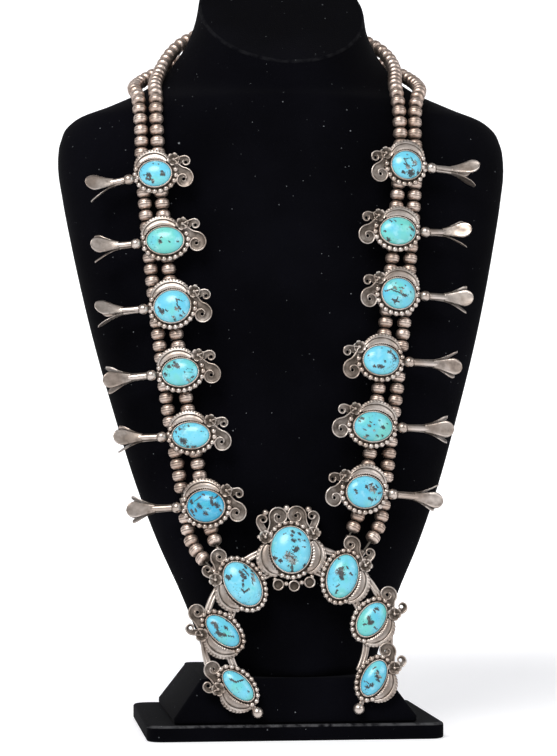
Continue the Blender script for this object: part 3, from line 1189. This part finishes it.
class NECKLACE_OT_beads(bpy.types.Operator):
    """Strands of drilled beads: an outline with two grooves turned round the thread"""

    bl_idname = "necklace.beads"
    bl_label = "Beads"

    def execute(self, context):
        settings = context.scene.necklace_silver
        material = made("bead_silver", silver_material, "bead_silver", settings, age=0.85,
                        shade=(1.1, 1.02, 0.98), satin=0.08)
        along_share, out_share = BEAD_SECTION.T
        bore = BORE_D / 2
        outline = np.stack([bore + (BEAD_D / 2 - bore) * out_share, along_share * BEAD_LENGTH / 2], -1)
        bright = [0.1, 0.5, 0.8, 0.9, 0, 0.9, 0.9, 0, 0.9, 0.8, 0.5, 0.1]
        bead = skin(*spin(outline, 14, bright), loop=True)
        for k, strand in enumerate(STRANDS):
            parts = [turned(bead, on_line_place(k, s)) for s in bead_stops(k)]
            add_piece("beads_" + strand, parts, material, ["strand_" + strand])
        return {"FINISHED"}


class NECKLACE_OT_blossoms(bpy.types.Operator):
    """Twelve blossoms, each a stone's setting with leaf, flower and scrolls, a trumpet and two tubes"""

    bl_idname = "necklace.blossoms"
    bl_label = "Blossoms"

    def execute(self, context):
        settings = context.scene.necklace_silver
        material = made("blossom_silver", silver_material, "blossom_silver", settings)
        for side, word in enumerate(("left", "right")):
            for i, b in enumerate(BLOSSOMS[side]):
                place = blossom_place(side, i)
                st = (b[2] / 2, b[3] / 2, b[4])
                setting = ornament(st, b[5], BLOSSOM_AT, BLOSSOM_SIZES)
                stem_place = (TRUMPET_AXES @ flat_turn(180 + b[6]), np.array([0, 0, TRUMPET_AXIS]))
                stem = [turned(p, stem_place) for p in trumpet(b[2] / 2, b[7], b[8])]
                parts = [turned(p, place) for p in setting + stem]
                for k in (2 * side, 2 * side + 1):
                    parts += shank(k, shank_stops(k)[5 - i], SHANK_LENGTH, place)
                add_piece(f"setting_{word}_{i + 1}", parts, material, [f"blossom_{word}_{i + 1}"])
        return {"FINISHED"}


def naja_parts():
    """Bars, clusters, end balls and tubes of the naja."""
    face = naja_place()
    bars = []
    for radius, start, stop in ARCS:
        f = np.radians(np.linspace(start, stop, 110))
        for d in (-BAR_SPREAD, BAR_SPREAD):
            ring = NAJA_MIDDLE + (radius + d) * np.stack([np.cos(f), np.sin(f)], -1)
            bars.append(tube(lifted(ring, BAR_R), [0, 0, 1], BAR_R, 0.75, sides=14))
    parts = [turned(p, face) for p in bars]
    for i, c in enumerate(CLUSTERS):
        st = (c[2] / 2, c[3] / 2, c[4])
        shapes = ornament(st, 0, (c[6], c[7], c[8]), NAJA_SIZES) if i else middle_ornament(st)
        parts += [turned(p, cluster_place(i)) for p in shapes]
    for i, (u, v) in END_BALLS.items():
        knob = ball(END_BALL_R, 26, 16)
        knob = (knob[0], knob[1], knob[2], np.clip(0.75 + 0.12 * knob[0][:, 2], 0, 1))
        strip = np.linspace([CLUSTERS[i][0], CLUSTERS[i][1], BAR_TOP + 0.5], [u, v, BAR_TOP + 0.5], 6)
        strap = tube(strip, [0, 0, 1], 1.2, 0.5, flat=0.4)
        parts += [turned(p, face) for p in (moved(knob, [u, v, END_BALL_R]), strap)]
    place = (face[0], face[1] + BAR_TOP * face[0][2])
    for k in range(4):
        parts += shank(k, NAJA_SHANK_AT, NAJA_SHANK_LENGTH, place)
    return parts


def middle_ornament(st):
    """Middle cluster: two mirrored halves of leaf, flower, scrolls and balls, and three loops."""
    half = [*scroll(MIDDLE_SMALL, MIDDLE_FLOWER, rim(st, 1, 140)),
            *scroll(MIDDLE_LARGE, MIDDLE_FLOWER, rim(st, 1, 115)),
            *flower(MIDDLE_FLOWER, NAJA_SIZES[1]), leaf(st, *MIDDLE_LEAF)]
    half += [moved(ball(r, 18, 10), [x, y, SHEET + 0.2]) for x, y, r in MIDDLE_BALLS]
    mirrored = [turned(p, (flat_turn(0, True), np.zeros(3))) for p in half]
    loops = []
    f = np.radians(np.linspace(0, 350, 36))
    middle_r = (LOOP_R[0] + LOOP_R[1]) / 2
    for centre in LOOPS:
        ring = np.array(centre) + middle_r * np.stack([np.cos(f), np.sin(f)], -1)
        loops.append(loop_wire(lifted(ring, SHEET + LOOP_WIRE[1]), LOOP_WIRE[0]))
        cup = [lifted(np.array(centre) + r * np.stack([np.cos(f), np.sin(f)], -1), z) for r, z, _ in CUP]
        loops.append(skin(cup, np.array([row[2] for row in CUP])[:, None] * np.ones(len(f))))
    rows = [grains(st, start, stop, NAJA_SIZES[2]) for start, stop in MIDDLE_GRAINS]
    top = moved(ball(TOP_BALL[1], 18, 10), [0, TOP_BALL[0], SHEET + 0.2])
    return [back_plate(st), bezel(st), *rows, *half, *mirrored, *loops, top]


def loop_wire(path, radius, sides=8):
    """Closed ring of round wire that lies flat."""
    ahead = unit(np.roll(path, -1, 0) - np.roll(path, 1, 0))
    side = np.cross([0, 0, 1.0], ahead)
    f = np.arange(sides) * 2 * np.pi / sides
    ring = np.cos(f)[None, :, None] * side[:, None, :] + np.sin(f)[None, :, None] * np.array([0, 0, 1.3])
    return skin(path[:, None, :] + radius * ring, 1.0, loop=True)


class NECKLACE_OT_naja(bpy.types.Operator):
    """Naja: a crescent of two double-wire bars that carries seven settings and two end balls"""

    bl_idname = "necklace.naja"
    bl_label = "Naja"

    def execute(self, context):
        settings = context.scene.necklace_silver
        material = made("blossom_silver", silver_material, "blossom_silver", settings)
        add_piece("naja_setting", naja_parts(), material, ["naja"])
        return {"FINISHED"}


def marks_on(x, y, half, marks):
    """Share of a mark at each point: 1 on its line, falling to 0 a little past twice its width."""
    found = np.zeros_like(x)
    wobble = 0.12 * (np.sin(5.3 * x + 3.1 * y) + np.sin(7.7 * y - 4.1 * x + 1.3))
    for x1, y1, x2, y2, width in marks:
        a = np.array([x1, y1]) * half
        d = np.array([x2, y2]) * half - a
        t = np.clip(((x - a[0]) * d[0] + (y - a[1]) * d[1]) / max(d @ d, 1e-6), 0, 1)
        gap = np.hypot(x - a[0] - t * d[0], y - a[1] - t * d[1]) + wobble
        found = np.maximum(found, np.clip(1.15 - 0.5 * gap / width, 0, 1))
    return found


def add_cabochon(node, st, place, flip, settings):
    """Dome over the stone's outline: a short wall, then a quarter of an ellipse to the top. Marks
    are laid on it as they are seen from the front."""
    green, deep, marks, tans = STONES[node]
    f = np.arange(96) * 3.75
    b = np.radians(np.linspace(0, 84, 40))
    height = DOME_HEIGHT[0] + DOME_HEIGHT[1] * min(st[0], st[1])
    shares = np.r_[0.6, 0.98, 1, np.cos(b)]
    z = np.r_[0, 0, 0.03, 0.14 + 0.86 * np.sin(b)] * height
    outline = lifted(rim(st, 0, f), 0)
    rows = shares[:, None, None] * outline + np.stack([0 * z, 0 * z, z], -1)[:, None, :]
    points, quads, tris, _ = skin(rows + [0, 0, SHEET + 0.1])
    local = points[:, :2] @ flip
    x, y = local.T
    half = np.array([np.abs(x).max(), np.abs(y).max()])
    tan_marks = [(tx, ty, tx + 0.04, ty - 0.04, r) for tx, ty, r in tans]
    layers = {"vein": marks_on(x, y, half, marks), "tan": marks_on(x, y, half, tan_marks),
              "green": green + 0.12 * np.sin(0.5 * x + green * 9) + 0.18 * np.clip(-y / half[1], 0, 1),
              "deep": deep + 0.15 * np.sin(0.35 * y + deep * 7)}
    points = points @ place[0] + place[1]
    quads, tris = outward(points, quads, tris)
    mesh = new_mesh(node + "_polished", points, quads, tris,
                    {name: np.clip(values, 0, 1) for name, values in layers.items()})
    finish_piece(node + "_polished", mesh, made("veined_turquoise", turquoise_material, settings),
                 [node])


class NECKLACE_OT_stones(bpy.types.Operator):
    """Nineteen cabochons of turquoise, each with its own colour and matrix"""

    bl_idname = "necklace.stones"
    bl_label = "Stones"

    def execute(self, context):
        settings = context.scene.necklace_stones
        for side, word in enumerate(("left", "right")):
            for i, b in enumerate(BLOSSOMS[side]):
                add_cabochon(f"stone_{word}_{i + 1}", (b[2] / 2, b[3] / 2, b[4]), blossom_place(side, i),
                             flat_turn(0, side == 1)[:2, :2], settings)
        for i, c in enumerate(CLUSTERS):
            add_cabochon(f"naja_stone_{i + 1}", (c[2] / 2, c[3] / 2, c[4]), cluster_place(i),
                         flat_turn(c[5], i > 3)[:2, :2], settings)
        return {"FINISHED"}


def floor_material(settings):
    """Matt pale board with a faint mottle."""
    material, tree, shader = new_material("pale_floor")
    place = object_coordinates(tree)
    dim = [c * 0.97 for c in settings.floor]
    tree.links.new(mix(tree, noise(tree, place, 6.0), dim, settings.floor), shader.inputs["Base Color"])
    shader.inputs["Roughness"].default_value = 0.75
    glow, strength = FLOOR_GLOW
    shader.inputs["Emission Color"].default_value = glow
    shader.inputs["Emission Strength"].default_value = strength
    return material


def add_area_light(name, at, towards, size, power, tint):
    data = bpy.data.lights.new(name, "AREA")
    data.shape, data.size, data.energy, data.color = "DISK", size, power, tint
    lamp = bpy.data.objects.new(name, data)
    lamp.location = at
    lamp.rotation_euler = (Vector(towards) - Vector(at)).to_track_quat("-Z", "Y").to_euler()
    bpy.context.scene.collection.objects.link(lamp)


class NECKLACE_OT_stage(bpy.types.Operator):
    """Pale floor that curves up behind, soft lights and the camera"""

    bl_idname = "necklace.stage"
    bl_label = "Stage"

    def execute(self, context):
        settings = context.scene.necklace_studio
        f = np.radians(np.linspace(0, 90, 16))
        at, bend = FLOOR_BEND
        curve = np.stack([at + bend * np.sin(f), bend - bend * np.cos(f)], -1)
        profile = np.vstack([[[-FLOOR_REACH, 0], [-at, 0]], curve, [[at + bend, FLOOR_REACH]]])
        x = np.array([-FLOOR_REACH, FLOOR_REACH])
        rows = np.array([[[v, y, z] for v in x] for y, z in profile])
        mesh = bpy.data.meshes.new("floor")
        i = np.arange(len(profile) - 1)
        mesh.from_pydata(rows.reshape(-1, 3).tolist(), [],
                         np.stack([2 * i, 2 * i + 1, 2 * i + 3, 2 * i + 2], -1).tolist())
        mesh.polygons.foreach_set("use_smooth", np.ones(len(mesh.polygons), bool))
        mesh.materials.append(floor_material(settings))
        floor = bpy.data.objects.new("floor", mesh)
        context.scene.collection.objects.link(floor)
        for name, place, towards, size, share, tint in LIGHTS:
            add_area_light(name, place, towards, size, settings.key_power * share, tint)
        world = bpy.data.worlds.new("even_light")
        world.use_nodes = True
        background = world.node_tree.nodes["Background"]
        background.inputs["Color"].default_value = SKY_COLOUR
        background.inputs["Strength"].default_value = settings.sky_strength
        context.scene.world = world
        data = bpy.data.cameras.new("camera")
        data.lens, data.sensor_width = CAMERA_LENS, CAMERA_SENSOR
        camera = bpy.data.objects.new("camera", data)
        camera.location = CAMERA_AT
        camera.rotation_euler = Vector(CAMERA_ALONG).to_track_quat("-Z", "Y").to_euler()
        context.scene.collection.objects.link(camera)
        context.scene.camera = camera
        context.scene.view_settings.view_transform = "Standard"
        return {"FINISHED"}


OPERATORS = (NECKLACE_OT_stage, NECKLACE_OT_base, NECKLACE_OT_bust, NECKLACE_OT_threads,
             NECKLACE_OT_beads, NECKLACE_OT_blossoms, NECKLACE_OT_naja, NECKLACE_OT_stones)


class NECKLACE_PT_panel(bpy.types.Panel):
    """Lists the pieces of the necklace and its bust"""

    bl_idname = "NECKLACE_PT_panel"
    bl_label = "Squash Blossom Necklace"
    bl_space_type = "VIEW_3D"
    bl_region_type = "UI"
    bl_category = "Necklace"

    def draw(self, context):
        for operator in OPERATORS:
            self.layout.operator(operator.bl_idname)


SETTINGS = {"necklace_velvet": VelvetSettings, "necklace_silver": SilverSettings,
            "necklace_stones": StoneSettings, "necklace_studio": StudioSettings}


def register():
    for group in SETTINGS.values():
        bpy.utils.register_class(group)
    for name, group in SETTINGS.items():
        setattr(bpy.types.Scene, name, bpy.props.PointerProperty(type=group))
    for cls in (*OPERATORS, NECKLACE_PT_panel):
        bpy.utils.register_class(cls)


def unregister():
    for cls in reversed((*OPERATORS, NECKLACE_PT_panel)):
        bpy.utils.unregister_class(cls)
    for name, group in SETTINGS.items():
        delattr(bpy.types.Scene, name)
        bpy.utils.unregister_class(group)


def main():
    register()
    for operator in OPERATORS:
        area, word = operator.bl_idname.split(".")
        getattr(getattr(bpy.ops, area), word)()


if __name__ == "__main__":
    main()
